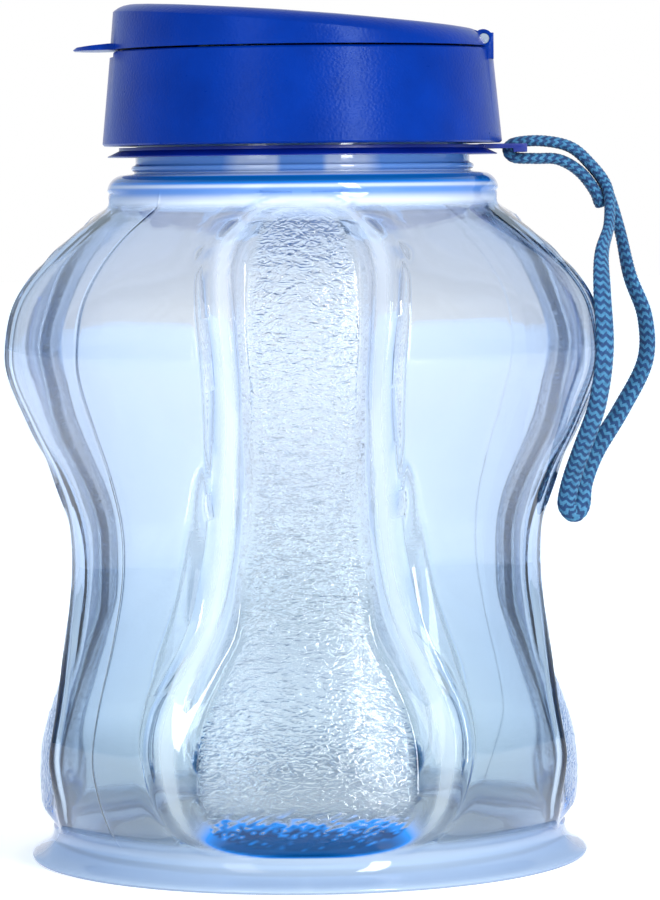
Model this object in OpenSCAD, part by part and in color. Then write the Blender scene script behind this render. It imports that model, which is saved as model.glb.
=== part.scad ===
// Drinking bottle with a waisted body, a screw cap with a flip-top lid, a strap ring and a wrist cord.
// Millimetres, +Z up. The origin is the centre of the foot, on the surface that the bottle stands on.
// The lid's hinge and the wrist cord are on the +X side, and the thumb tab is on the -X side.

/* [Bottle body] */
// Radius of the flared foot
foot_r = 44.5; // [43:0.1:46]
// Radius of the lower bulge, between the panels
lower_r = 46.6; // [45:0.1:48]
// Radius of the waist, between the panels
waist_r = 40; // [38:0.1:42]
// Radius of the upper bulge, between the panels
upper_r = 48.9; // [48:0.1:49.5]
// Thickness of the moulded wall
wall = 1.6; // [1.2:0.1:2]
// Depth of the four grip panels at the waist
panel_depth = 6; // [4:0.1:6.5]

/* [Neck and screw cap] */
// Outer radius of the neck under its thread
neck_r = 26.6; // [26.4:0.1:26.8]
// Height that the cap rises in one turn
thread_lead = 5.2; // [5:0.1:5.4]
// Radius of the cap at its lower edge
cap_r = 31.8; // [31.4:0.1:32.2]
// Radius of the cap at the lid's seam
cap_top_r = 30.4; // [30.2:0.1:30.6]

/* [Flip-top lid] */
// Height of the lid's crown over the bottle's foot, at the centre
lid_top_z = 134.2; // [134:0.1:135]
// Slope of the lid's top down to the hinge, in degrees
lid_slope = 4.6; // [4:0.1:5]
// Length of the thumb tab past the lid
thumb_len = 5.9; // [4:0.1:7]

/* [Strap ring and wrist cord] */
// Outer radius of the ring's flange
ring_r = 31; // [30:0.1:31.4]
// Width of the flat braided cord
cord_w = 3; // [2.6:0.1:3]
// Thickness of the flat braided cord
cord_t = 1.8; // [1.6:0.1:1.8]

/* [Hidden] */
$fn = 96;

// heights of the body's narrowest and widest places, and of the shoulder under the neck
lower_z = 20;
waist_z = 50;
upper_z = 82;
shoulder_z = 104;
shoulder_r = 31.4;
push_up = 5;                 // rise of the foot's hollow underside at the centre
foot_inner_r = 35;           // inner edge of the ring that the bottle stands on
heel_z = 5.2;                // height of the crease between the body and the flared foot
floor_t = 2;                 // thickness of the bottom
base_top_z = 12;             // the moulding is modelled in four lengths, split here, at the waist
neck_split_z = shoulder_z - 4;      // and under the shoulder

// neck, thread and the parts stacked on them
neck_z = 109;
neck_wall = 1.8;
rim_z = 123.2;
thread_h = 1.3;              // height of the bottle's thread ridge over the neck
thread_gap = 0.4;            // radial play of the cap's thread
male_z = 114.9;              // middle of the bottle's ridge where it starts
male_turns = 1.2;
female_start = 120;          // degrees round from the bottle's ridge to the start of the cap's
female_drop = 1.8;           // the cap's ridge bears on the underside of the bottle's
female_turns = 1.1;

ring_bottom_z = 111.5;
ring_top_z = 113;
ring_bore_r = 27;
eyelet_half = 3.5;           // half the width of the cord's slot
tab_half = 5;                // half the width of the cord's tab
tab_top_z = 113.1;
tab_t = 0.75;
slot_x = 31.6;
bar_x = 33.9;                // the bar that the cord is looped on
bar_z = 111.75;
bar_t = 0.55;
tab_end_x = 35.6;

cap_bottom_z = 113.3;
cap_top_z = 128.2;
cap_bore_r = neck_r + thread_h + thread_gap;
deck_bottom_z = 124.2;
deck_top_z = 125.9;
well_r = 26.6;
spout_x = -10;
spout_hole_r = 7.5;
spout_top_z = 131.3;
spout_bore_r = 4;
vent_x = 12;
vent_hole_r = 1.6;

lid_bottom_z = 128.5;
lid_wall = 1.5;
hinge_x = 28.8;
hinge_z = 129.6;
knuckle_r = 1.6;
knuckle_clear_r = 1.95;
knuckle_half = 4;            // half the length of the lid's knuckle
lug_half = 8;                // outer face of the cap's two hinge lugs
pin_r = 0.8;
lug_root_z = 126.4;
lug_over = 0.9;              // rise of the lugs' tops over the pin's middle
scoop_half = 7;              // half the width of the thumb tab and of the scoop under it
collar_z = 131.7;            // lower edge of the lid's collar round the plug
collar_r = 6.2;
plug_r = 4.95;
plug_top_z = 132.8;
plug_tip_z = 128.9;

function near(p, i) = p[max(0, min(len(p) - 1, i))];
function arc(c, r, from, to, n) = [for (k = [0:n]) let (a = from + (to - from) * k / n)
                                   c + r * [cos(a), sin(a)]];
function reversed(p) = [for (i = [len(p) - 1:-1:0]) p[i]];
function inward(p, d) = [for (q = p) [q[0] - d, q[1]]];

// [radius, height] of the round body between its panels, from the foot's flare to the shoulder
body_line = [
    [foot_r - 3.4, heel_z], [lower_r - 2.8, 9], [lower_r - 0.6, 15], [lower_r, lower_z],
    [lower_r - 1.4, 27], [waist_r + 2, 37], [waist_r, 46], [waist_r, 54],
    [waist_r + 2.2, 62], [upper_r - 3.3, 70], [upper_r - 0.5, 77], [upper_r, upper_z],
    [upper_r - 1.2, 88.5], [upper_r - 4.7, 94], [upper_r - 10, 99], [shoulder_r + 0.6, shoulder_z - 0.5]];

// [radius, height] of the sunken floor of a panel
panel_line = [
    [foot_r - 3.4, heel_z - 0.4], [lower_r - 4.7, 6.6], [lower_r - 3.7, 9], [lower_r - 3.5, 14],
    [lower_r - 4.2, lower_z],
    [lower_r - 6.5, 27], [waist_r - 3, 34], [waist_r - panel_depth + 0.6, 40],
    [waist_r - panel_depth, 47], [waist_r - panel_depth + 0.2, 54], [waist_r - 3.8, 60], [waist_r, 68],
    [upper_r - 7, 75], [upper_r - 6, upper_z], [upper_r - 7.7, 89], [upper_r - 11.3, 97],
    [shoulder_r - 0.6, shoulder_z + 1.5]];

// [half width, height] of a panel's outline, seen square on
panel_edge = [
    [9, 5.7], [15.4, 6.6], [19.2, 9.5], [20.8, 14], [21.4, lower_z], [20.4, 27], [18, 33], [14.8, 41],
    [12.8, waist_z], [11.9, 58], [11.1, 67], [11, 75], [11.5, 81], [12.1, 88.5], [12, 95.6],
    [10.3, 100], [7.6, 102.8], [3, 104.4]];

// a full turn of ring-shaped space outside a line of [radius, height] points
module outside_of(line) {
    rotate_extrude() polygon(concat(line, [[70, line[len(line) - 1][1]], [70, line[0][1]]]));
}

// space of the four grip panels, made larger by grow on every side
module panel_space(grow) {
    edge = [for (q = panel_edge) [q[0] + grow, upper_z + (q[1] - upper_z) * (1 + grow / 45)]];
    outline = concat(edge, reversed([for (q = edge) [-q[0], q[1]]]));
    intersection() {
        outside_of(inward(panel_line, grow));
        union() for (turn = [0, 90])
            rotate([0, 0, turn]) translate([0, 75, 0]) rotate([90, 0, 0])
                linear_extrude(150) polygon(outline);
    }
}

// one helical ridge with tapered ends; side is 1 for a ridge that points out and -1 for one that points in
module thread_ridge(root_r, start_z, start_angle, turns, root_w, crest_w, side) {
    steps = round(turns * 36);
    rings = [for (i = [0:steps])
        let (a = start_angle + 360 * turns * i / steps,
             z = start_z + thread_lead * turns * i / steps,
             rise = thread_h * max(0.25, min(1, i / 3, (steps - i) / 3)),
             foot = root_r - side * 0.5, crest = root_r + side * rise)
        [for (q = [[foot, -root_w / 2], [crest, -crest_w / 2], [crest, crest_w / 2], [foot, root_w / 2]])
            [q[0] * cos(a), q[0] * sin(a), z + q[1]]]];
    sides = [for (i = [0:steps - 1]) for (k = [0:3])
        let (a = 4 * i + k, b = 4 * i + (k + 1) % 4)
        for (t = side > 0 ? [[a, b, b + 4], [a, b + 4, a + 4]] : [[a, b + 4, b], [a, a + 4, b + 4]]) t];
    last = 4 * steps;
    ends = side > 0 ? [[3, 2, 1, 0], [last, last + 1, last + 2, last + 3]]
                    : [[0, 1, 2, 3], [last + 3, last + 2, last + 1, last]];
    polyhedron([for (ring = rings) for (q = ring) q], concat(sides, ends));
}

// the whole moulding but for its thread
module bottle_shell() {
    underside = [[0, push_up], [foot_inner_r - 14, push_up - 1], [foot_inner_r - 4, 1.6], [foot_inner_r, 0]];
    outer = concat(
        underside,
        [[foot_r - 0.6, 0], [foot_r, 0.5], [foot_r, 0.9], [foot_r - 0.8, 1.5], [foot_r - 2, 2.5],
         [foot_r - 3, 3.9]],
        body_line,
        [[shoulder_r, shoulder_z + 0.4], [shoulder_r - 0.3, 106]],
        arc([28.4, 106], 2.7, 15, 75, 4),
        [[neck_r + 0.2, neck_z], [neck_r + 0.6, 109.4], [neck_r + 0.6, 110], [neck_r, 110.3],
         [neck_r, rim_z - 0.4], [neck_r - 0.4, rim_z], [0, rim_z]]);
    hollow_line = [for (q = body_line) if (q[1] > heel_z + 1 && q[1] < shoulder_z - 5) q];
    hollow = concat(
        [for (q = underside) [q[0] + 0.3 * q[0] / foot_inner_r, q[1] + floor_t]],
        [[foot_r - 7, floor_t + 0.2], [foot_r - 5.5, floor_t + 1.2], [foot_r - 4.9, heel_z - 0.6]],
        inward(hollow_line, wall),
        [[shoulder_r + 1.6, shoulder_z - 3.4], [shoulder_r - wall - 0.6, shoulder_z - 0.6],
         [shoulder_r - wall - 0.9, 105.6], [neck_r - neck_wall + 1.2, 107.2], [neck_r - neck_wall, 108.6],
         [neck_r - neck_wall, rim_z + 1], [0, rim_z + 1]]);
    difference() {
        rotate_extrude() polygon(outer);
        panel_space(0);
        difference() {
            rotate_extrude() polygon(hollow);
            panel_space(wall);
        }
    }
}

// the moulding between two heights
module shell_length(low, high) {
    intersection() {
        bottle_shell();
        translate([0, 0, low]) cylinder(h = high - low, r = 70);
    }
}

module bottle_base() {
    color([0.72, 0.84, 0.97, 0.6]) shell_length(-1, base_top_z);
}

module bottle_lower() {
    color([0.72, 0.84, 0.97, 0.6]) shell_length(base_top_z, waist_z);
}

module bottle_upper() {
    color([0.72, 0.84, 0.97, 0.6]) shell_length(waist_z, neck_split_z);
}

module bottle_neck() {
    color([0.72, 0.84, 0.97, 0.6]) union() {
        shell_length(neck_split_z, rim_z + 1);
        thread_ridge(neck_r, male_z, 0, male_turns, 2.2, 1.2, 1);
    }
}

module strap_ring() {
    color([0.02, 0.1, 0.5]) union() {
        difference() {
            union() {
                rotate_extrude() polygon([
                    [ring_bore_r, ring_bottom_z], [ring_r, ring_bottom_z], [ring_r, ring_bottom_z + 0.15],
                    [ring_r - 1.8, ring_top_z - 0.5], [ring_r - 1.8, ring_top_z], [ring_bore_r, ring_top_z]]);
                translate([ring_bore_r + 1, -tab_half, tab_top_z - tab_t])
                    cube([tab_end_x - ring_bore_r - 1, 2 * tab_half, tab_t]);
            }
            // the slot takes the loop of the cord over the bar and leaves the bar itself to be added low
            translate([slot_x, -eyelet_half, ring_bottom_z - 1]) cube([10, 2 * eyelet_half, 4]);
        }
        for (y = [-tab_half, eyelet_half])
            translate([bar_x - 0.5, y, bar_z])
                cube([tab_end_x - bar_x + 0.5, tab_half - eyelet_half, tab_top_z - bar_z - 0.15]);
        translate([bar_x, -tab_half, bar_z]) cube([tab_end_x - bar_x, 2 * tab_half, bar_t]);
    }
}

// [x, height] along one arm of the cord's hitch: from its fused end, back through the slot, to the loop
hitch = [[47.4, 102.8], [46.7, 105.2], [44.2, 108.5], [40.8, 110.5], [37, 110.7], [33.8, 110.9],
         [32.8, 112.05], [33.8, 113.2], [38, 113.5], [42.4, 112.6], [45.4, 110.2], [48.4, 106]];
strand_y = 1.6;
// [x, y, height] round the hanging loop, down its near strand and up its far one
loop = [[48.4, -6.5, 100.5], [46.8, -13, 95.5], [46.5, -18, 89.5], [46.7, -20.4, 81], [45.6, -18.8, 72.5],
        [43.4, -15.6, 65.5], [42, -12.9, 61], [41.2, -11.7, 57.6], [41.2, -11.2, 55.9], [42.3, -10.8, 54.8],
        [43.4, -10.4, 56], [43.9, -9.8, 59.6], [45.9, -9, 64.5], [50, -8, 71], [53.9, -6.6, 78.5],
        [54, -5.4, 85.5], [51.8, -3.6, 92], [50.4, 0.2, 99.5]];
route = concat([for (q = hitch) [q[0], -strand_y, q[1]]], loop,
               [for (q = reversed(hitch)) [q[0], strand_y, q[1]]]);
// turn of the flat cord about its own length at each point of the route, in degrees
rolls = concat([for (q = hitch) 0], [10, 45, 68, 70, 75, 80, 85, 90, 90, 90, 90, 85, 75, 60, 50, 42, 30, 8],
               [for (q = hitch) 0]);

module wrist_cord() {
    n = len(route);
    sides = 8;
    rings = [for (i = [0:n - 1])
        let (t = near(route, i + 1) - near(route, i - 1), along = t / norm(t),
             flat = [0, 1, 0] - along[1] * along, across = flat / norm(flat),
             over = cross(along, across), c = cos(rolls[i]), s = sin(rolls[i]),
             wide = c * across + s * over, thin = c * over - s * across)
        [for (k = [0:sides - 1]) let (a = 360 * (k + 0.5) / sides)
            route[i] + cord_w / 2 * cos(a) * wide + cord_t / 2 * sin(a) * thin]];
    skin = [for (i = [0:n - 2]) for (k = [0:sides - 1])
        let (a = sides * i + k, b = sides * i + (k + 1) % sides)
        for (f = [[a, b + sides, b], [a, a + sides, b + sides]]) f];
    last = sides * (n - 1);
    ends = [[for (k = [0:sides - 1]) k], [for (k = [sides - 1:-1:0]) last + k]];
    color([0.25, 0.5, 0.85]) polyhedron([for (ring = rings) for (q = ring) q], concat(skin, ends));
}

module screw_cap() {
    side = [[cap_r - 0.3, cap_bottom_z], [cap_r, cap_bottom_z + 0.3],
            [cap_top_r, cap_top_z - 0.3], [cap_top_r - 0.3, cap_top_z]];
    color([0.02, 0.2, 0.72]) difference() {
        union() {
            difference() {
                rotate_extrude() polygon(concat([[cap_bore_r, cap_bottom_z]], side, [
                    [well_r, cap_top_z], [well_r, deck_top_z], [0, deck_top_z], [0, deck_bottom_z],
                    [cap_bore_r, deck_bottom_z]]));
                // room for the lid's knuckle, and a scoop for the thumb
                translate([hinge_x, 0, hinge_z]) rotate([90, 0, 0])
                    cylinder(h = 2 * knuckle_half + 0.4, r = knuckle_clear_r, center = true);
                translate([-cap_top_r - 0.4, -scoop_half, cap_top_z - 0.9]) cube([1.6, 2 * scoop_half, 2]);
            }
            for (y = [-lug_half, knuckle_half + 0.2])
                translate([hinge_x - knuckle_r, y, lug_root_z])
                    cube([cap_top_r - hinge_x + knuckle_r - 0.1, lug_half - knuckle_half - 0.2,
                          hinge_z + lug_over - lug_root_z]);
            thread_ridge(cap_bore_r, male_z - female_drop + thread_lead * female_start / 360, female_start,
                         female_turns, 2, 1.1, -1);
        }
        translate([hinge_x, 0, hinge_z]) rotate([90, 0, 0])
            cylinder(h = 2 * lug_half + 2, r = pin_r + 0.05, center = true);
        translate([spout_x, 0, deck_bottom_z - 1]) cylinder(h = 4, r = spout_hole_r);
        translate([vent_x, 0, deck_bottom_z - 1]) cylinder(h = 4, r = vent_hole_r);
    }
}

module cap_gasket() {
    color([0.85, 0.88, 0.92]) translate([0, 0, rim_z + 0.05]) difference() {
        cylinder(h = deck_bottom_z - rim_z - 0.1, r = neck_r + 0.9);
        translate([0, 0, -1]) cylinder(h = 3, r = neck_r - neck_wall);
    }
}

module mouthpiece() {
    color([0.8, 0.85, 0.92]) translate([spout_x, 0, 0]) rotate_extrude() polygon(concat(
        [[spout_bore_r, deck_bottom_z - 0.9], [spout_hole_r + 1, deck_bottom_z - 0.9],
         [spout_hole_r + 1, deck_bottom_z - 0.1], [spout_hole_r - 0.1, deck_bottom_z - 0.1],
         [spout_hole_r - 0.1, deck_top_z + 0.1], [spout_hole_r + 1.2, deck_top_z + 0.1],
         [spout_hole_r + 1.2, deck_top_z + 0.9], [spout_hole_r - 0.6, deck_top_z + 1.6]],
        arc([spout_hole_r - 2.2, spout_top_z - 0.9], 0.9, 0, 90, 4),
        [[spout_bore_r + 0.3, spout_top_z], [spout_bore_r, spout_top_z - 0.3]]));
}

module vent_valve() {
    color([0.8, 0.85, 0.92]) translate([vent_x, 0, 0]) rotate_extrude() polygon([
        [0, deck_bottom_z - 0.8], [3.2, deck_bottom_z - 0.5], [3.2, deck_bottom_z - 0.1],
        [vent_hole_r - 0.1, deck_bottom_z - 0.1], [vent_hole_r - 0.1, deck_top_z + 0.1],
        [2.6, deck_top_z + 0.1], [2.6, deck_top_z + 0.6], [1.6, deck_top_z + 1], [0, deck_top_z + 1.1]]);
}

module hinge_pin() {
    color([0.75, 0.76, 0.78]) translate([hinge_x, 0, hinge_z]) rotate([90, 0, 0])
        cylinder(h = 2 * lug_half - 0.4, r = pin_r, center = true);
}

// the lid's outside, moved in by inset: an upright side under a crowned top that slopes to the hinge
module lid_form(inset) {
    edge_r = 4 - inset / 2;
    rim = cap_top_r + 0.4 - inset;
    crown = 0.7;
    intersection() {
        translate([0, 0, lid_bottom_z - inset])
            cylinder(h = 9, r1 = cap_top_r - inset, r2 = cap_top_r - 0.8 - inset);
        translate([0, 0, lid_top_z - inset]) rotate([0, lid_slope, 0])
            rotate_extrude() polygon(concat([[0, -15], [rim, -15]],
                arc([rim - edge_r, -crown - edge_r], edge_r, 0, 90, 8),
                [[18, -0.3], [9, -0.06], [0, 0]]));
    }
}

module thumb_tab() {
    root_x = 4 - cap_top_r;
    tip_x = -cap_top_r - thumb_len;
    intersection() {
        translate([0, scoop_half, 0]) rotate([90, 0, 0]) linear_extrude(2 * scoop_half) polygon([
            [root_x, lid_bottom_z], [tip_x + 0.2, lid_bottom_z - 0.1], [tip_x, lid_bottom_z + 0.05],
            [tip_x + 0.8, lid_bottom_z + 0.45], [-cap_top_r, lid_bottom_z + 0.95], [root_x, lid_bottom_z + 1]]);
        translate([tip_x + 9, 0, lid_bottom_z - 1]) cylinder(h = 3, r = 9);
    }
}

module flip_lid() {
    color([0.02, 0.2, 0.72]) difference() {
        union() {
            difference() {
                union() {
                    lid_form(0);
                    difference() {
                        thumb_tab();
                        translate([0, 0, lid_bottom_z - 1]) cylinder(h = 3, r = cap_top_r - 1);
                    }
                }
                lid_form(lid_wall);
            }
            // inner walls round the hinge pocket, and the collar that holds the plug
            intersection() {
                lid_form(0.2);
                translate([hinge_x - 3.4, -lug_half - 1.8, lid_bottom_z]) cube([9, 2 * lug_half + 3.6, 9]);
            }
            intersection() {
                lid_form(0.2);
                translate([spout_x, 0, collar_z]) difference() {
                    cylinder(h = 5, r = collar_r);
                    translate([0, 0, -1]) cylinder(h = 7, r = plug_r + 0.05);
                }
            }
        }
        // pockets for the cap's lugs, and the hinge side cut back so that the lid can swing over
        for (y = [-lug_half - 0.3, knuckle_half])
            translate([hinge_x, y, hinge_z]) rotate([-90, 0, 0])
                cylinder(h = lug_half + 0.3 - knuckle_half, r = knuckle_clear_r);
        translate([hinge_x, -lug_half - 0.3, lid_bottom_z - 1]) cube([5, 2 * lug_half + 0.6, 9]);
        for (y = [-lug_half - 0.3, knuckle_half])
            translate([hinge_x - knuckle_clear_r, y, lid_bottom_z - 1])
                cube([5, lug_half + 0.3 - knuckle_half, hinge_z - lid_bottom_z + 1]);
        translate([hinge_x, 0, hinge_z]) rotate([90, 0, 0])
            cylinder(h = 2 * knuckle_half + 1, r = pin_r + 0.06, center = true);
    }
    color([0.02, 0.2, 0.72]) translate([hinge_x, 0, hinge_z]) rotate([90, 0, 0]) difference() {
        cylinder(h = 2 * knuckle_half - 0.2, r = knuckle_r, center = true);
        cylinder(h = 2 * knuckle_half + 1, r = pin_r + 0.06, center = true);
    }
}

module lid_plug() {
    color([0.85, 0.88, 0.92]) translate([spout_x, 0, 0]) rotate_extrude() polygon([
        [0, plug_tip_z], [2.8, plug_tip_z], [3.5, plug_tip_z + 0.7], [3.6, collar_z - 0.25],
        [collar_r, collar_z - 0.25], [collar_r, collar_z - 0.05], [plug_r, collar_z - 0.05],
        [plug_r, plug_top_z], [0, plug_top_z]]);
}

bottle_base();
bottle_lower();
bottle_upper();
bottle_neck();
strap_ring();
wrist_cord();
screw_cap();
cap_gasket();
mouthpiece();
vent_valve();
hinge_pin();
flip_lid();
lid_plug();
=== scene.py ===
"""Looks of the flip-top drinking bottle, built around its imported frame. Shapes are in millimetres."""

import math

import bmesh
import bpy
import numpy as np
from mathutils import Matrix, Vector, noise


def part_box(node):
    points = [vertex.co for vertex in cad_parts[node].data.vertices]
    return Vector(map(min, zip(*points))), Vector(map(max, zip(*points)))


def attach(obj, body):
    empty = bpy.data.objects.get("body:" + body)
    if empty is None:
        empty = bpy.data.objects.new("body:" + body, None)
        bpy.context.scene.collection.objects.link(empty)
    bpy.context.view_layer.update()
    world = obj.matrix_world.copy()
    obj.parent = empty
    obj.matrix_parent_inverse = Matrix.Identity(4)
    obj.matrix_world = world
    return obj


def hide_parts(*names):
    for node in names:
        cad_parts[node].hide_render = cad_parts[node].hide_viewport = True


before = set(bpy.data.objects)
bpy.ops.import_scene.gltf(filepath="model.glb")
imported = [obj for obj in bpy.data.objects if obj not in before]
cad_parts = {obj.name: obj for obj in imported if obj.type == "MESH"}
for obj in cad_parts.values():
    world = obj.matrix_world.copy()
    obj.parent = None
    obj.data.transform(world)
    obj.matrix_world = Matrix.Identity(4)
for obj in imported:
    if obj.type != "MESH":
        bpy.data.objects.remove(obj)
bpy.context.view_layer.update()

MM = 0.001


# ---------------------------------------------------------------- sizes, in millimetres, from the frame

FOOT_R = 44.5
LOWER_R, LOWER_Z = 46.6, 20.0
WAIST_R = 40.0
UPPER_R, UPPER_Z = 48.9, 82.0
SHOULDER_R, SHOULDER_Z = 31.4, 104.0
PANEL_LOW_Z, PANEL_HIGH_Z = 9.0, 103.2
PANEL_DEPTH = 6.0
WALL = 1.6
GRAIN = 0.34               # relief of the panels' hammered texture
GRAIN_SEED = 7             # without a seed, the noise that warps the texture starts from the clock
BEAD = 0.40                # rounded rim round each panel
SQUARE = 0.02              # how much flatter the body is beside its ridges than a circle
SEAM = 0.08                # height of the mould's parting line
NECK_DEPTH_AND_PAINTED_REFLECTION = 0.42          # how much deeper in colour the heavy neck and the foot look; in the neck it is partly a painted reflection of the blue cap
FOOT_DEPTH = 0.11
NECK_MILK = 0.72           # how milky the plastic is in the neck and in the foot
FOOT_MILK = 0.62
PUSH_UP = 5.0
FOOT_INNER_R = 35.0        # inside of the flat ring that the bottle stands on
FOOT_ROUND = 0.42          # round of the foot's outer edge
HEEL_Z = 5.2               # the crease between the body and the flared foot
FLOOR_Z = 7.0              # top of the bottom inside, at the centre
NECK_R = 26.6
NECK_WALL = 1.8
RIM_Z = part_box("bottle_neck")[1][2] / MM
THREAD_LEAD = 5.2
THREAD_Z = 114.9
THREAD_TURNS = 1.2
THREAD_H = 1.3


# ---------------------------------------------------------------- camera

CAMERA_DISTANCE = 0.700
CAMERA_Z = 0.1077
VIEW_HEIGHT = 0.1440        # height of the picture at the bottle's axis
AIM = Vector((0.0039, 0.0, 0.0645))
ROLL = math.radians(-0.6)
FLOOR_GLOW = 0.55


def make_camera():
    data = bpy.data.cameras.new("camera")
    camera = bpy.data.objects.new("camera", data)
    bpy.context.scene.collection.objects.link(camera)
    place = Vector((AIM.x, -CAMERA_DISTANCE, CAMERA_Z))
    look = (AIM - place).to_track_quat("-Z", "Y").to_matrix().to_4x4()
    camera.matrix_world = Matrix.Translation(place) @ look @ Matrix.Rotation(ROLL, 4, "Z")
    data.sensor_fit = "VERTICAL"
    data.sensor_height = 24.0
    data.lens = data.sensor_height * (AIM - place).length / VIEW_HEIGHT
    data.clip_start = 0.01
    bpy.context.scene.camera = camera


make_camera()


# ---------------------------------------------------------------- helpers for lines and meshes

def smooth(points, steps):
    """A Catmull-Rom line through the points, with that many steps between each two."""
    p = np.array(points, float)
    p = np.vstack([p[:1], p, p[-1:]])
    t = np.linspace(0, 1, steps, endpoint=False)[:, None]
    out = []
    for a, b, c, d in zip(p[:-3], p[1:-2], p[2:-1], p[3:]):
        out.append(0.5 * (2 * b + (c - a) * t + (2 * a - 5 * b + 4 * c - d) * t**2
                          + (3 * b - a - 3 * c + d) * t**3))
    return np.vstack(out + [p[-1:]])


def arc(x, y, radius, start, stop, steps):
    """Points on a circle round (x, y), from the start angle to the stop angle in degrees."""
    return [(x + radius * math.cos(math.radians(a)), y + radius * math.sin(math.radians(a)))
            for a in np.linspace(start, stop, steps + 1)]


def new_object(name, points_mm, faces):
    mesh = bpy.data.meshes.new(name)
    mesh.from_pydata([tuple(p) for p in np.asarray(points_mm) * MM], [], faces)
    mesh.validate()
    mesh.update()
    obj = bpy.data.objects.new(name, mesh)
    bpy.context.scene.collection.objects.link(obj)
    return obj


def grid_faces(rows, columns):
    """Quads between rows of points, each row closed round its columns."""
    faces = []
    for i in range(rows - 1):
        a, b = i * columns, (i + 1) * columns
        for k in range(columns):
            n = (k + 1) % columns
            faces.append((a + k, a + n, b + n, b + k))
    return faces


def apply_modifiers(obj):
    graph = bpy.context.evaluated_depsgraph_get()
    done = bpy.data.meshes.new_from_object(obj.evaluated_get(graph))
    obj.modifiers.clear()
    old, obj.data = obj.data, done
    bpy.data.meshes.remove(old)
    obj.data.name = obj.name


def shade(obj, angle=35):
    obj.data.shade_smooth()
    obj.data.set_sharp_from_angle(angle=math.radians(angle))


# ---------------------------------------------------------------- materials

def material(name):
    m = bpy.data.materials.new(name)
    m.use_nodes = True
    return m, m.node_tree.nodes, m.node_tree.links, m.node_tree.nodes["Principled BSDF"]


def bumped(nodes, links, shader, height, strength, distance):
    bump = nodes.new("ShaderNodeBump")
    bump.inputs["Strength"].default_value = strength
    bump.inputs["Distance"].default_value = distance
    links.new(height, bump.inputs["Height"])
    links.new(bump.outputs["Normal"], shader.inputs["Normal"])


def object_coordinates(nodes):
    return nodes.new("ShaderNodeTexCoord").outputs["Object"]


def noise_texture(nodes, links, where, scale, detail=3.0, rough=0.5):
    n = nodes.new("ShaderNodeTexNoise")
    n.inputs["Scale"].default_value = scale
    n.inputs["Detail"].default_value = detail
    n.inputs["Roughness"].default_value = rough
    links.new(where, n.inputs["Vector"])
    return n.outputs["Fac"]


def colour_ramp(nodes, links, value, stops):
    ramp = nodes.new("ShaderNodeValToRGB")
    while len(ramp.color_ramp.elements) < len(stops):
        ramp.color_ramp.elements.new(0.5)
    for e, (at, colour) in zip(ramp.color_ramp.elements, stops):
        e.position = at
        e.color = (*colour, 1.0)
    links.new(value, ramp.inputs["Fac"])
    return ramp.outputs["Color"]


def value_ramp(nodes, links, value, low, high):
    """Stretches a texture's 0 to 1 to the range low to high."""
    m = nodes.new("ShaderNodeMapRange")
    m.inputs["To Min"].default_value = low
    m.inputs["To Max"].default_value = high
    links.new(value, m.inputs["Value"])
    return m.outputs["Result"]


def ramped(nodes, links, value, start, stop):
    """0 where a value is below start, 1 where it is above stop and even between them."""
    m = nodes.new("ShaderNodeMapRange")
    m.inputs["From Min"].default_value = start
    m.inputs["From Max"].default_value = stop
    links.new(value, m.inputs["Value"])
    return m.outputs["Result"]


def calculated(nodes, links, operation, first, second):
    m = nodes.new("ShaderNodeMath")
    m.operation = operation
    links.new(first, m.inputs[0])
    links.new(second, m.inputs[1])
    return m.outputs["Value"]


def seen_along(nodes, blend):
    """Goes up as the surface is seen more along itself."""
    weight = nodes.new("ShaderNodeLayerWeight")
    weight.inputs["Blend"].default_value = blend
    return weight.outputs["Facing"]


def axes(nodes, links, where):
    split = nodes.new("ShaderNodeSeparateXYZ")
    links.new(where, split.inputs["Vector"])
    return split.outputs


def mixed(nodes, links, factor, first, second):
    """Goes from the first colour to the second, each a colour or an output, as the factor goes up."""
    mix = nodes.new("ShaderNodeMix")
    mix.data_type = "RGBA"
    links.new(factor, mix.inputs["Factor"])
    for socket, colour in ((mix.inputs[6], first), (mix.inputs[7], second)):
        if isinstance(colour, tuple):
            socket.default_value = (*colour, 1.0)
        else:
            links.new(colour, socket)
    return mix.outputs[2]


def attribute(nodes, name):
    """A number that the mesh carries at each of its points."""
    node = nodes.new("ShaderNodeAttribute")
    node.attribute_name = name
    return node.outputs["Fac"]


def hammered_relief(nodes, links, where):
    """Fine hammered relief, on the panels only."""
    stretch = nodes.new("ShaderNodeMapping")
    stretch.inputs["Scale"].default_value = (560.0, 560.0, 1050.0)
    links.new(where, stretch.inputs["Vector"])
    fine = nodes.new("ShaderNodeTexNoise")
    fine.inputs["Scale"].default_value = 1.0
    fine.inputs["Detail"].default_value = 1.0
    fine.inputs["Distortion"].default_value = 1.6
    links.new(stretch.outputs["Vector"], fine.inputs["Vector"])
    return calculated(nodes, links, "MULTIPLY", fine.outputs["Fac"], attribute(nodes, "grain"))


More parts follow.
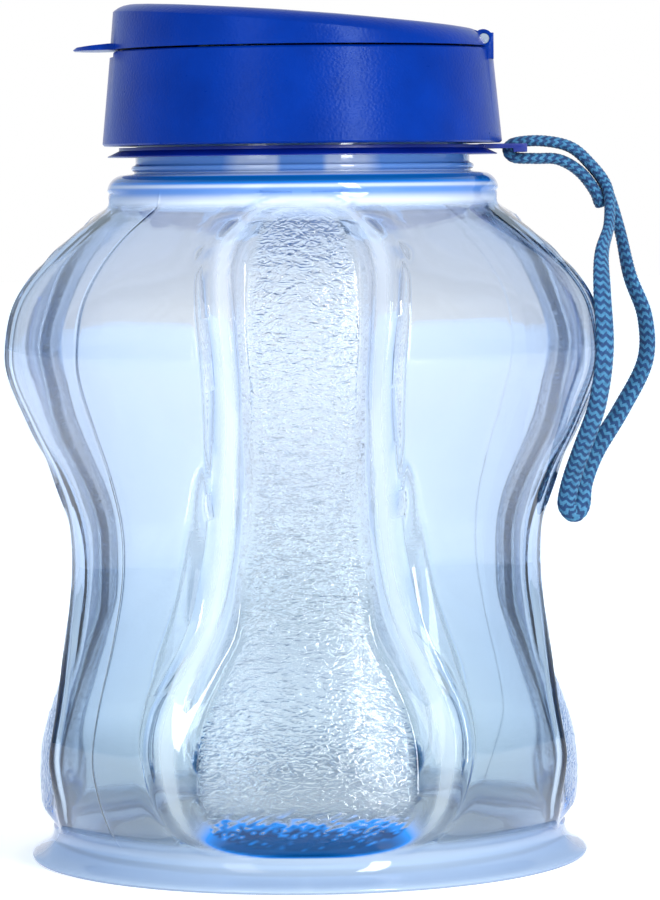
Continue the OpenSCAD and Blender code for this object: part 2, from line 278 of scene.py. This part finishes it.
def bottle_plastic():
    """Clear blue plastic, deeper in colour in the heavy neck and foot and where it is seen along its surface,
    with painted shade, highlights and reflection that the mesh carries into its colour and milkiness.
    """
    m, nodes, links, shader = material("bottle_plastic")
    shader.inputs["IOR"].default_value = 1.49
    where = object_coordinates(nodes)
    height = ramped(nodes, links, axes(nodes, links, where)["Z"], 0.004, 0.075)
    tint = mixed(nodes, links, height, (0.72, 0.795, 0.80), (0.99, 0.99, 0.985))
    # deeper blues where the mesh marks heavy plastic, and for its painted shade and painted reflection
    for start, deep in ((0.0, (0.004, 0.24, 0.76)), (0.5, (0.0, 0.035, 0.12))):
        step = ramped(nodes, links, attribute(nodes, "depth_and_painted_light"), start, start + 0.5)
        tint = mixed(nodes, links, step, tint, deep)
    tint = mixed(nodes, links, seen_along(nodes, 0.22), tint, (0.01, 0.13, 0.45))
    # painted shade: the grained panels turn dark blue and cloudy where they are seen along their surface, in
    # place of the dark refraction along their edges
    painted_edge_shade = calculated(nodes, links, "MULTIPLY", seen_along(nodes, 0.32), attribute(nodes, "panel"))
    links.new(mixed(nodes, links, painted_edge_shade, tint, (0.0, 0.13, 0.40)), shader.inputs["Base Color"])
    milk_and_painted_light = calculated(nodes, links, "MAXIMUM", painted_edge_shade, attribute(nodes, "milk_and_painted_light"))
    links.new(value_ramp(nodes, links, milk_and_painted_light, 1.0, 0.0), shader.inputs["Transmission Weight"])
    rough = value_ramp(nodes, links, noise_texture(nodes, links, where, 90.0), 0.02, 0.06)
    links.new(rough, shader.inputs["Roughness"])
    bumped(nodes, links, shader, hammered_relief(nodes, links, where), 1.0, 0.0005)
    absorb = nodes.new("ShaderNodeVolumeAbsorption")
    absorb.inputs["Color"].default_value = (0.22, 0.50, 0.82, 1.0)
    absorb.inputs["Density"].default_value = 75.0
    links.new(absorb.outputs["Volume"], nodes["Material Output"].inputs["Volume"])
    return m


def cap_plastic():
    m, nodes, links, shader = material("cap_plastic")
    where = object_coordinates(nodes)
    blues = colour_ramp(nodes, links, noise_texture(nodes, links, where, 140.0, 4.0),
                        [(0.3, (0.0, 0.021, 0.20)), (0.7, (0.0, 0.027, 0.245))])
    links.new(blues, shader.inputs["Base Color"])
    grain = nodes.new("ShaderNodeTexVoronoi")
    grain.feature = "SMOOTH_F1"
    grain.inputs["Scale"].default_value = 2400.0
    links.new(where, grain.inputs["Vector"])
    links.new(value_ramp(nodes, links, noise_texture(nodes, links, where, 900.0), 0.24, 0.36),
              shader.inputs["Roughness"])
    shader.inputs["Specular IOR Level"].default_value = 0.2
    shader.inputs["Specular Tint"].default_value = (0.42, 0.6, 0.9, 1.0)
    bumped(nodes, links, shader, grain.outputs["Distance"], 0.3, 0.00012)
    return m


def ring_plastic():
    m, nodes, links, shader = material("ring_plastic")
    where = object_coordinates(nodes)
    blues = colour_ramp(nodes, links, noise_texture(nodes, links, where, 200.0),
                        [(0.3, (0.0, 0.008, 0.16)), (0.7, (0.0, 0.014, 0.22))])
    links.new(blues, shader.inputs["Base Color"])
    links.new(value_ramp(nodes, links, noise_texture(nodes, links, where, 500.0), 0.25, 0.38),
              shader.inputs["Roughness"])
    bumped(nodes, links, shader, noise_texture(nodes, links, where, 900.0), 0.1, 0.0002)
    return m


def soft_white(name, low, high, transmission, rough):
    """Milky silicone or pale plastic, between two colours."""
    m, nodes, links, shader = material(name)
    where = object_coordinates(nodes)
    links.new(colour_ramp(nodes, links, noise_texture(nodes, links, where, 150.0), [(0.3, low), (0.7, high)]),
              shader.inputs["Base Color"])
    links.new(value_ramp(nodes, links, noise_texture(nodes, links, where, 600.0), rough - 0.06, rough + 0.06),
              shader.inputs["Roughness"])
    shader.inputs["Transmission Weight"].default_value = transmission
    shader.inputs["IOR"].default_value = 1.43
    bumped(nodes, links, shader, noise_texture(nodes, links, where, 700.0), 0.08, 0.0003)
    return m


def pin_steel():
    m, nodes, links, shader = material("pin_steel")
    shader.inputs["Metallic"].default_value = 1.0
    where = object_coordinates(nodes)
    links.new(colour_ramp(nodes, links, noise_texture(nodes, links, where, 400.0),
                          [(0.3, (0.45, 0.45, 0.47)), (0.7, (0.62, 0.62, 0.64))]),
              shader.inputs["Base Color"])
    links.new(value_ramp(nodes, links, noise_texture(nodes, links, where, 900.0), 0.22, 0.4),
              shader.inputs["Roughness"])
    return m


def cord_yarn(name, low, high):
    m, nodes, links, shader = material(name)
    where = object_coordinates(nodes)
    links.new(colour_ramp(nodes, links, noise_texture(nodes, links, where, 1200.0, 4.0),
                          [(0.3, low), (0.7, high)]),
              shader.inputs["Base Color"])
    links.new(value_ramp(nodes, links, noise_texture(nodes, links, where, 2500.0), 0.6, 0.85),
              shader.inputs["Roughness"])
    shader.inputs["Sheen Weight"].default_value = 0.12
    bumped(nodes, links, shader, noise_texture(nodes, links, where, 6000.0, 2.0), 0.4, 0.0001)
    return m


def floor_glow_with_painted_shadow():
    """A glowing table with painted light: a painted bluish shadow under the bottle, painted warm light round
    it, white far behind, and painted blue shade towards the camera.
    """
    m, nodes, links, shader = material("floor_glow_with_painted_shadow")
    shader.inputs["Base Color"].default_value = (0.93, 0.94, 0.95, 1.0)
    shader.inputs["Roughness"].default_value = 0.9
    where = object_coordinates(nodes)
    back = axes(nodes, links, where)["Y"]
    spread = nodes.new("ShaderNodeVectorMath")
    spread.operation = "LENGTH"
    links.new(where, spread.inputs[0])
    # painted shadow: a dim bluish glow under the bottle; painted warm light near it and painted blue shade
    # towards the camera
    outside = ramped(nodes, links, spread.outputs["Value"], 0.038, 0.048)
    far = ramped(nodes, links, back, 0.05, 0.30)
    beyond = ramped(nodes, links, back, -0.30, -0.07)
    lit = mixed(nodes, links, far, (1.0, 0.88, 0.74), (1.0, 1.0, 1.0))
    white = mixed(nodes, links, outside, (0.46, 0.52, 0.60), lit)
    links.new(mixed(nodes, links, beyond, (0.32, 0.50, 0.76), white), shader.inputs["Emission Color"])
    shader.inputs["Emission Strength"].default_value = FLOOR_GLOW
    return m


CAP_BLUE = cap_plastic()
RING_BLUE = ring_plastic()
SILICONE = soft_white("silicone", (0.72, 0.78, 0.85), (0.82, 0.87, 0.92), 0.25, 0.4)
SPOUT_WHITE = soft_white("spout_plastic", (0.62, 0.74, 0.88), (0.7, 0.8, 0.92), 0.1, 0.28)


# ---------------------------------------------------------------- wrist cord

CORD_W, CORD_T = 3.0, 1.8
STRAND_Y = 1.6
HITCH = [(47.4, 102.8), (46.7, 105.2), (44.2, 108.5), (40.8, 110.5), (37, 110.7), (33.8, 110.9),
         (32.8, 112.05), (33.8, 113.2), (38, 113.5), (42.4, 112.6), (45.4, 110.2), (48.4, 106)]
LOOP = [(48.4, -6.5, 100.5), (46.8, -13, 95.5), (46.5, -18, 89.5), (46.7, -20.4, 81), (45.6, -18.8, 72.5),
        (43.4, -15.6, 65.5), (42, -12.9, 61), (41.2, -11.7, 57.6), (41.2, -11.2, 55.9), (42.3, -10.8, 54.8),
        (43.4, -10.4, 56), (43.9, -9.8, 59.6), (45.9, -9, 64.5), (50, -8, 71), (53.9, -6.6, 78.5),
        (54, -5.4, 85.5), (51.8, -3.6, 92), (50.4, 0.2, 99.5)]
LOOP_ROLLS = [10, 45, 68, 70, 75, 80, 85, 90, 90, 90, 90, 85, 75, 60, 50, 42, 30, 8]
ROUTE = ([(x, -STRAND_Y, z) for x, z in HITCH] + LOOP + [(x, STRAND_Y, z) for x, z in reversed(HITCH)])
ROLLS = [0] * len(HITCH) + LOOP_ROLLS + [0] * len(HITCH)


def cord_frames(steps):
    """Points along the cord's middle, with its wide and thin directions at each."""
    line = smooth(ROUTE, steps)
    roll = np.radians(smooth([(r, 0) for r in ROLLS], steps)[:, 0])
    along = np.gradient(line, axis=0)
    along /= np.linalg.norm(along, axis=1)[:, None]
    across = np.array([0.0, 1.0, 0.0]) - along[:, 1:2] * along
    across /= np.linalg.norm(across, axis=1)[:, None]
    over = np.cross(along, across)
    c, s = np.cos(roll)[:, None], np.sin(roll)[:, None]
    return line, c * across + s * over, c * over - s * across


def even(line, *others, step):
    """Resamples a line and what goes with it at even distances."""
    along = np.concatenate([[0], np.cumsum(np.linalg.norm(np.diff(line, axis=0), axis=1))])
    at = np.linspace(0, along[-1], int(round(along[-1] / step)) + 1)
    resampled = [np.column_stack([np.interp(at, along, a[:, k]) for k in range(3)]) for a in (line, *others)]
    return resampled, along[-1]


def wrist_cord():
    """A flat braid, whose yarns lean one way in one column and the other way in the next."""
    (line, wide, thin), length = even(*cord_frames(12), step=0.16)
    n = len(line)
    sides = 48
    columns = 6         # columns of yarns across each face
    pitch = 0.64        # distance between yarns along the braid
    lean = 0.5          # how far a yarn runs along the braid as it crosses a column
    turn = np.linspace(0, 2 * math.pi, sides, endpoint=False)[None, :]
    step = np.arange(n)[:, None] * length / (n - 1)
    place = turn / math.pi * columns                # counts the columns round the braid
    column = np.floor(place)
    within = place - column
    slant = np.where(column % 2 == 0, within, 1 - within)
    phase = (step + lean * slant) / pitch + 0.25 * column
    yarn = np.abs(np.sin(math.pi * phase))
    groove = np.minimum(1.0, np.minimum(within, 1 - within) * 6)
    relief = 0.13 * yarn * (0.45 + 0.55 * groove) - 0.07
    ease = np.minimum(1, np.minimum(np.arange(n), np.arange(n)[::-1]) / 6.0)[:, None]
    size = 0.55 + 0.45 * np.sqrt(ease)
    half_w = (CORD_W / 2 - 0.06 + relief) * size
    half_t = (CORD_T / 2 - 0.06 + relief) * size
    points = (line[:, None, :] + (half_w * np.cos(turn))[:, :, None] * wide[:, None, :]
              + (half_t * np.sin(turn))[:, :, None] * thin[:, None, :])
    faces = grid_faces(n, sides) + [tuple(range(sides - 1, -1, -1)), tuple(range((n - 1) * sides, n * sides))]
    obj = new_object("wrist_cord_braid", points.reshape(-1, 3), faces)
    obj.data.materials.append(cord_yarn("cord_blue", (0.001, 0.027, 0.095), (0.006, 0.058, 0.17)))
    obj.data.materials.append(cord_yarn("cord_cyan", (0.02, 0.13, 0.25), (0.07, 0.25, 0.40)))
    # every other yarn is pale, and sinks into the blue at its ends
    pale = (np.floor(phase) % 2 == 0) & (yarn > 0.15)
    for face in obj.data.polygons[:(n - 1) * sides]:
        i, k = divmod(face.index, sides)
        face.material_index = int(pale[i, k])
    shade(obj, 60)
    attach(obj, "ring")
    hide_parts("wrist_cord")
    return obj


wrist_cord()


# ---------------------------------------------------------------- bottle body

BODY_LINE = smooth([
    (FOOT_R - 3.4, HEEL_Z), (LOWER_R - 2.8, 9), (LOWER_R - 0.6, 15), (LOWER_R, LOWER_Z),
    (LOWER_R - 1.4, 27), (WAIST_R + 2, 37), (WAIST_R, 46), (WAIST_R, 54),
    (WAIST_R + 2.2, 62), (UPPER_R - 3.3, 70), (UPPER_R - 0.5, 77), (UPPER_R, UPPER_Z),
    (UPPER_R - 1.2, 88.5), (UPPER_R - 4.7, 94), (UPPER_R - 10, 99), (SHOULDER_R + 0.6, SHOULDER_Z - 0.5)], 12)
FLOOR_LINE = smooth([
    (FOOT_R - 3.4, HEEL_Z - 0.4), (LOWER_R - 4.7, 6.6), (LOWER_R - 3.7, 9), (LOWER_R - 3.5, 14),
    (LOWER_R - 4.2, LOWER_Z), (LOWER_R - 6.5, 27), (WAIST_R - 3, 34), (WAIST_R - PANEL_DEPTH + 0.6, 40),
    (WAIST_R - PANEL_DEPTH, 47), (WAIST_R - PANEL_DEPTH + 0.2, 54), (WAIST_R - 3.8, 60), (WAIST_R, 68),
    (UPPER_R - 7, 75), (UPPER_R - 6, UPPER_Z), (UPPER_R - 7.7, 89), (UPPER_R - 11.3, 97),
    (SHOULDER_R - 0.1, SHOULDER_Z + 1)], 12)
# [half width, height] of a panel's sunken floor, and of the rim where its sloped wall meets the round body
FLOOR_EDGE = smooth([
    (0.01, 6.2), (8, 6.7), (13.4, 8.2), (16.3, 10.8), (17.8, 15.3), (18.2, 21), (17.2, 26.7), (15, 32),
    (12.2, 38.2), (10.4, 50), (9.2, 58), (8.6, 67), (9, 74), (9.5, 81.4), (9.8, 88.6), (9.2, 93.5),
    (8, 97.6), (6.4, 100.6), (4, 103), (0.01, 104)], 6)
RIM_EDGE = smooth([
    (0.01, 4.3), (10, 4.8), (16.6, 6.4), (20.8, 9.6), (23.1, 14), (24.5, 21), (23.6, 27), (20.9, 33),
    (17.4, 40.7), (15.2, 50), (14.2, 58), (13.5, 67), (13.2, 75), (13.5, 81.4), (14.3, 88.6), (14.5, 95.6),
    (13, 100), (9.8, 103), (5, 105), (0.01, 105.6)], 6)


def off_line(points, line):
    """Distance of each (u, z) point from a line of points, for both of its mirrored halves."""
    a, b = line[:-1], line[1:]
    p = np.column_stack([np.abs(points[:, 0]), points[:, 1]])
    best = np.full(len(p), 1e9)
    for s, t in zip(a, b):
        d = t - s
        k = np.clip(((p - s) @ d) / (d @ d), 0, 1)
        best = np.minimum(best, np.linalg.norm(p - s - k[:, None] * d, axis=1))
    return best


def half_width(line, z):
    return np.interp(z, line[:, 1], line[:, 0], left=0.0, right=0.0)


def panel_shape(u, z):
    """A place's height up the panel's wall (0 to 1), how far inside the floor it is, and the rim's bead."""
    points = np.column_stack([u, z])
    in_floor = np.abs(u) < half_width(FLOOR_EDGE, z)
    in_rim = np.abs(u) < half_width(RIM_EDGE, z)
    to_floor, to_rim = off_line(points, FLOOR_EDGE), off_line(points, RIM_EDGE)
    t = np.where(in_floor, 0.0, np.where(in_rim, to_floor / (to_floor + to_rim + 1e-9), 1.0))
    eased = t * t * (3 - 2 * t)
    beside = np.where(in_rim, to_rim, -to_rim)
    return 0.15 * t + 0.85 * eased, np.where(in_floor, to_floor, 0.0), np.exp(-(beside / 0.75) ** 2)


def grain_height(around, z):
    """Hammered relief of the panels: long, warped cells that lie crosswise, from 0 to 1."""
    p = Vector((around * 0.42, 0.0, z * 0.85))
    p += noise.noise_vector(p * 0.4) * 0.9
    nearest, second = noise.voronoi(p)[0][:2]
    ridge = min(1.0, (second - nearest) * 1.7)
    return 0.7 * ridge + 0.3 * (0.5 + 0.5 * noise.noise(p * 2.3))


def column_angles(floor_half, wall_half, radius):
    """Angles of the mesh's columns at one height, which follow the panels' edges."""
    floor = np.linspace(-1, 1, 43)[:-1]
    wall = np.linspace(0, 1, 11)[:-1]
    ridge = np.array([0, 0.06, 0.13, 0.28, 0.46, 0.64, 0.82, 0.97, 0.992])
    a_floor = math.asin(floor_half / radius)
    a_wall = math.asin(wall_half / radius)
    quarter = math.pi / 2
    first = floor * a_floor
    second = a_floor + (a_wall - a_floor) * wall
    third = a_wall + (quarter / 2 - a_wall) * ridge
    fourth = quarter - third[1:][::-1]
    fifth = quarter - a_wall + (a_wall - a_floor) * wall
    one = np.concatenate([first, second, third, [quarter / 2], fourth, fifth])
    return np.concatenate([one + quarter * k for k in range(4)])


def thread_height(angle, z):
    """How far the neck's thread stands out at an angle, in turns from its start, and a height."""
    out = np.zeros_like(angle)
    for lap in range(2):
        turns = angle / (2 * math.pi) + lap
        inside = (turns >= 0) & (turns <= THREAD_TURNS)
        off = np.abs(z - (THREAD_Z + THREAD_LEAD * turns))
        fade = np.clip(np.minimum(turns, THREAD_TURNS - turns) / 0.06, 0, 1)
        rise = THREAD_H * np.clip((1.15 - off) / 0.5, 0, 1) * fade
        out = np.maximum(out, np.where(inside, rise, 0.0))
    return out


def body_rows():
    """[radius, height, kind] along a ridge, from under the foot, up the outside and down the inside."""
    def row(points, kind):
        return [(r, z, kind) for r, z in points]

    def heights(z):
        return list(zip(np.interp(z, BODY_LINE[:, 1], BODY_LINE[:, 0]), z))

    foot = [(r, PUSH_UP * (1 - (r / FOOT_INNER_R) ** 2.6)) for r in (3, 8, 14, 20, 25, 29, 32, 34)]
    foot += [(FOOT_INNER_R - 0.2, 0.04), (FOOT_INNER_R + 0.6, 0.0), (FOOT_R - 0.9, 0.0)]
    foot += arc(FOOT_R - FOOT_ROUND, FOOT_ROUND, FOOT_ROUND, -80, 25, 5)
    foot += [(FOOT_R - 3.45 + 3.2 * t**3, HEEL_Z - 0.2 - 4.1 * t) for t in np.linspace(0.97, 0, 12)]
    outside = np.concatenate([np.linspace(HEEL_Z + 0.1, 12, 20), np.linspace(12.5, 94, 126)[:-1],
                              np.linspace(94, SHOULDER_Z - 0.6, 26)])
    corner = [(SHOULDER_R + 0.25, SHOULDER_Z - 0.1), (SHOULDER_R, SHOULDER_Z + 0.35)]
    corner += [(SHOULDER_R - 0.15 * (z - SHOULDER_Z), z) for z in np.linspace(SHOULDER_Z + 0.7, 105.8, 4)]
    shoulder = arc(28.4, 106, 2.75, 5, 78, 14)
    neck = [(NECK_R + 0.9, 108.85), (NECK_R + 0.25, 109.0), (NECK_R + 0.2, 109.15), (NECK_R + 0.6, 109.35),
            (NECK_R + 0.7, 109.7), (NECK_R + 0.6, 110.05), (NECK_R + 0.1, 110.25), (NECK_R, 110.5)]
    neck += [(NECK_R, z) for z in (111.2, 112.2, 113.2)]
    neck += [(NECK_R, z) for z in np.arange(113.7, RIM_Z - 0.8, 0.42)]
    neck += arc(NECK_R - 0.5, RIM_Z - 0.5, 0.5, 0, 90, 3)
    inner_r = NECK_R - NECK_WALL
    bore = arc(inner_r + 0.4, RIM_Z - 0.4, 0.4, 90, 180, 3)
    bore += [(inner_r, z) for z in np.linspace(RIM_Z - 3, 109.2, 4)]
    bore += [(inner_r + 0.3, 108.4), (inner_r + 1.3, 107.5), (inner_r + 3, 106.6), (SHOULDER_R - 2.3, 105.6),
             (SHOULDER_R - 1.9, SHOULDER_Z + 0.2), (SHOULDER_R - 1.5, SHOULDER_Z - 1)]
    inside = heights(np.linspace(SHOULDER_Z - 2, 6.6, 74))
    floor = [(FOOT_R - 4.9, 4.6), (FOOT_R - 5.6, 3.2), (FOOT_R - 7.0, 2.3), (FOOT_R - 8.5, 2.1), (33.6, 2.6),
             (31, 3.6), (28, 4.6), (23, 5.7), (16, 6.5), (9, 6.9), (3, FLOOR_Z)]
    return (row(foot, "foot") + row(heights(outside) + corner, "body") + row(shoulder, "neck")
            + row(neck, "neck") + row(bore, "bore") + row(inside, "inside") + row(floor, "floor"))


def closed_skin(name, rows, first, last):
    """Rows of points as one closed skin between two points on the axis; a row may halve the one before it."""
    points, faces = [first], []
    starts = []
    for row in rows:
        starts.append(len(points))
        points.extend(row)
    for a, b, row, above in zip(starts, starts[1:], rows, rows[1:]):
        n = len(row)
        if len(above) == n:
            faces += [(a + k, a + (k + 1) % n, b + (k + 1) % n, b + k) for k in range(n)]
        else:
            faces += [(a + k, a + k + 1, a + (k + 2) % n, b + (k // 2 + 1) % (n // 2), b + k // 2)
                      for k in range(0, n, 2)]
    n, m = len(rows[0]), len(rows[-1])
    faces += [(0, starts[0] + (k + 1) % n, starts[0] + k) for k in range(n)]
    faces += [(starts[-1] + k, starts[-1] + (k + 1) % m, len(points)) for k in range(m)]
    points.append(last)
    return new_object(name, points, faces)


def ramp(value, low, high):
    """0 below low, 1 above high and smooth between them."""
    t = np.clip((value - low) / (high - low), 0, 1)
    return t * t * (3 - 2 * t)


def row_angles(radius, z, kind):
    """Angles of one row's columns: as at the panels' ends past the panels, and half as many inside."""
    held_z = min(max(z, PANEL_LOW_Z), PANEL_HIGH_Z)
    spread = max(radius, 16.0)
    shrink = min(1.0, spread / 45.0)
    wall_half = float(half_width(RIM_EDGE, held_z)) * shrink
    floor_half = float(half_width(FLOOR_EDGE, held_z)) * shrink
    angle = column_angles(floor_half, wall_half, spread)
    return angle[::2] if kind in ("bore", "inside", "floor") else angle


def outer_skin(r, angle, u, z, up, deep, bead, neck):
    """Adds beads, grain and the parting line to a row of the body's outside, and gives the row's looks."""
    r += BEAD * bead
    panel = np.clip(deep / 1.2, 0, 1)
    grain = panel * (1 - 0.5 * (1 - ramp(z, 28, 50)) - 0.4 * ramp(z, 80, 92))
    # painted shade at the foot of each panel, for the dark grain of the far panels seen through it, broken by
    # painted glints in its grain
    foot_painted_shade = (1 - ramp(z, 6.5, 14.5)) * (1 - ramp(up, 0.5, 1.0)) * (1 - ramp(np.abs(u), 12.0, 20.0))
    depth_and_painted_light = 0.95 * foot_painted_shade
    for k in np.nonzero(grain)[0]:
        around = angle[k] * LOWER_R
        r[k] += GRAIN * grain[k] * (grain_height(around, z) - 0.5)
        if foot_painted_shade[k] > 0:
            painted_glint = grain_height(around * 1.5 + 31, z * 2.6)
            depth_and_painted_light[k] = min(1.0, max(0.0, 2.15 * foot_painted_shade[k] - 1.9 * painted_glint))
    milk_and_painted_light = 0.85 * np.minimum(1.0, 2 * depth_and_painted_light)
    # each panel's wall has painted shade low down, deeper in colour than its floor, a painted highlight band
    # higher up and a painted dark line along the bead
    wall = ramp(up, 0.01, 0.10) * (1 - ramp(up, 0.30, 0.5))
    painted_highlight_band = ramp(up, 0.35, 0.55) * (1 - ramp(up, 0.80, 0.95))
    depth_and_painted_light = np.maximum(depth_and_painted_light, ramp(z, 14, 24) * (0.07 * wall + 0.18 * ramp(bead, 0.75, 1.0)))
    milk_and_painted_light = np.maximum(milk_and_painted_light, 0.10 * wall + 0.34 * painted_highlight_band)
    # the panels and the body beside them are a little milky low down
    milk_and_painted_light = np.maximum(milk_and_painted_light, 0.26 * panel * ramp(z, 10, 14) * (1 - ramp(z, 30, 46)))
    milk_and_painted_light = np.maximum(milk_and_painted_light, 0.16 * (1 - ramp(z, 7, 18)) * (1 - grain))
    # the shoulder's top and the heel go over into the milky neck and foot
    milk_and_painted_light = np.maximum(milk_and_painted_light, NECK_MILK * ramp(z, PANEL_HIGH_Z, PANEL_HIGH_Z + 1.2))
    foot = 1 - ramp(z, HEEL_Z + 0.5, HEEL_Z + 2.5)
    depth_and_painted_light = np.maximum(depth_and_painted_light, FOOT_DEPTH * foot + NECK_DEPTH_AND_PAINTED_REFLECTION * neck)
    milk_and_painted_light = np.maximum(milk_and_painted_light, FOOT_MILK * foot + NECK_MILK * neck)
    # the mould's parting line, on two opposite ridges
    r += SEAM * np.where(np.cos(angle - math.pi / 4) ** 2 > 0.9999999, 1.0, 0.0)
    return panel, grain, depth_and_painted_light, milk_and_painted_light


def neck_depth_and_painted_light(r, angle, z, depth_and_painted_light):
    """How deep in colour each point of a row of the neck looks, from an even depth, with painted reflection
    and highlights.
    """
    # painted reflection: a deep blue line round the top of the shoulder where the blue cap is seen in the
    # neck, with a painted highlight on each side of it
    depth_and_painted_light += 0.42 * ramp(z, 107.3, 107.6) * (1 - ramp(z, 108.25, 108.45))
    depth_and_painted_light -= 0.34 * ramp(z, 106.45, 106.6) * (1 - ramp(z, 106.95, 107.1))
    depth_and_painted_light -= 0.34 * ramp(z, 108.45, 108.6) * (1 - ramp(z, 108.9, 109.1))
    # two painted highlights side by side in the front of the neck
    x = np.abs(r * np.cos(angle))
    pale = ramp(x, 3.0, 4.2) * (1 - ramp(x, 9.6, 10.8)) * (np.sin(angle) < 0) * ramp(z, 108.4, 109.2)
    return depth_and_painted_light * (1 - 0.6 * pale)


def row_of_body(radius, z, kind):
    """One row of the bottle's skin: its points, and how panelled and grained each is, how deep in colour and
    milky each looks, with the painted shade and highlights it carries.
    """
    angle = row_angles(radius, z, kind)
    r = np.full(len(angle), float(radius))
    panel = np.zeros(len(angle))
    grain = np.zeros(len(angle))
    neck = float(ramp(z, 104.6, 106.0))
    depth_and_painted_light = np.full(len(angle), FOOT_DEPTH if kind == "foot" else NECK_DEPTH_AND_PAINTED_REFLECTION * neck)
    milk_and_painted_light = np.full(len(angle), FOOT_MILK if kind == "foot" else NECK_MILK * neck)
    if kind in ("body", "inside"):
        off = (angle + math.pi / 4) % (math.pi / 2) - math.pi / 4
        u = radius * np.sin(off)
        up, deep, bead = panel_shape(u, np.full(len(u), z))
        floor_r = float(np.interp(z, FLOOR_LINE[:, 1], FLOOR_LINE[:, 0]))
        r *= 1 - SQUARE * np.cos(2 * off) ** 2 * np.sin(2 * (math.pi / 4 - np.abs(off))) ** 2
        r -= (1 - up) * np.maximum(0.0, r - floor_r)
        if kind == "body":
            panel, grain, depth_and_painted_light, milk_and_painted_light = outer_skin(r, angle, u, z, up, deep, bead, neck)
        else:
            lean = abs(np.interp(z, BODY_LINE[:, 1], np.gradient(BODY_LINE[:, 0], BODY_LINE[:, 1])))
            r -= WALL * min(2.0, math.sqrt(1 + lean**2))
    elif kind == "neck":
        r += thread_height(angle % (2 * math.pi), z)
        depth_and_painted_light = neck_depth_and_painted_light(r, angle, z, depth_and_painted_light)
    points = np.column_stack([r * np.cos(angle), r * np.sin(angle), np.full(len(r), z)])
    return points, panel, grain, depth_and_painted_light, milk_and_painted_light


def bottle_body():
    noise.seed_set(GRAIN_SEED)
    rows, panel, grain, depth_and_painted_light, milk_and_painted_light = zip(*[row_of_body(*row) for row in body_rows()])
    obj = closed_skin("bottle_shell", rows, (0, 0, PUSH_UP), (0, 0, FLOOR_Z))
    looks = {"panel": panel, "grain": grain, "depth_and_painted_light": depth_and_painted_light, "milk_and_painted_light": milk_and_painted_light}
    for name, values in looks.items():
        mark = obj.data.attributes.new(name, "FLOAT", "POINT")
        mark.data.foreach_set("value", np.concatenate([[0.0], *values, [0.0]]))
    obj.data.materials.append(bottle_plastic())
    shade(obj, 50)
    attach(obj, "bottle")
    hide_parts("bottle_base", "bottle_lower", "bottle_upper", "bottle_neck")
    return obj


bottle_body()


# ---------------------------------------------------------------- rounded mouldings

def rounded(node, name, body, paint, radius, angle=32):
    """The CAD piece's own shape with its edges rounded, as they come out of a mould."""
    obj = bpy.data.objects.new(name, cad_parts[node].data.copy())
    bpy.context.scene.collection.objects.link(obj)
    b = bmesh.new()
    b.from_mesh(obj.data)
    bmesh.ops.remove_doubles(b, verts=b.verts, dist=2e-6)
    bmesh.ops.dissolve_limit(b, angle_limit=math.radians(1.2), verts=b.verts, edges=b.edges)
    b.to_mesh(obj.data)
    b.free()
    obj.data.materials.clear()
    obj.data.materials.append(paint)
    bevel = obj.modifiers.new("edges", "BEVEL")
    bevel.width = radius * MM
    bevel.segments = 3
    bevel.limit_method = "ANGLE"
    bevel.angle_limit = math.radians(angle)
    bevel.use_clamp_overlap = True
    bevel.harden_normals = False
    bpy.context.view_layer.update()
    apply_modifiers(obj)
    shade(obj, 32)
    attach(obj, body)
    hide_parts(node)
    return obj


rounded("screw_cap", "cap_shell", "cap", CAP_BLUE, 0.3)
rounded("flip_lid", "lid_shell", "lid", CAP_BLUE, 0.3)
rounded("strap_ring", "ring_shell", "ring", RING_BLUE, 0.15)


# ---------------------------------------------------------------- CAD nodes that keep their shape

def refinish(node, paint):
    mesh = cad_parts[node].data
    mesh.materials.clear()
    mesh.materials.append(paint)


for node in ("cap_gasket", "vent_valve", "lid_plug"):
    refinish(node, SILICONE)
refinish("mouthpiece", SPOUT_WHITE)
refinish("hinge_pin", pin_steel())


# ---------------------------------------------------------------- floor and light

def studio():
    half = 4000
    floor = new_object("floor", [(-half, -half, 0), (half, -half, 0), (half, half, 0), (-half, half, 0)],
                       [(0, 1, 2, 3)])
    floor.data.materials.append(floor_glow_with_painted_shadow())

    world = bpy.data.worlds.new("studio")
    bpy.context.scene.world = world
    world.use_nodes = True
    nodes, links = world.node_tree.nodes, world.node_tree.links
    back = nodes["Background"]
    back_to_front = axes(nodes, links, nodes.new("ShaderNodeTexCoord").outputs["Generated"])["Y"]
    # white straight behind the bottle, pale blue round that, and blue-grey to the sides and in front
    links.new(colour_ramp(nodes, links, value_ramp(nodes, links, back_to_front, 0.0, 1.0),
                          [(0.0, (0.32, 0.50, 0.74)), (0.25, (0.60, 0.74, 0.90)), (0.60, (0.76, 0.88, 0.98)),
                           (0.90, (0.66, 0.82, 0.97)), (0.965, (1.0, 1.0, 1.0))]),
              back.inputs["Color"])
    back.inputs["Strength"].default_value = 1.0

    for name, turn, width, power in (("softbox_right", 31.0, 0.17, 10.5), ("softbox_left", -31.0, 0.26, 2.4)):
        light = bpy.data.lights.new(name, "AREA")
        light.shape = "RECTANGLE"
        light.size, light.size_y = width, 1.1
        light.energy = power
        obj = bpy.data.objects.new(name, light)
        bpy.context.scene.collection.objects.link(obj)
        a = math.radians(turn)
        place = Vector((math.sin(a), -math.cos(a), 0.45))
        obj.matrix_world = (Matrix.Translation(place)
                            @ (Vector((0, 0, 0.09)) - place).to_track_quat("-Z", "Y").to_matrix().to_4x4())


studio()
bpy.context.scene.view_settings.view_transform = "Standard"
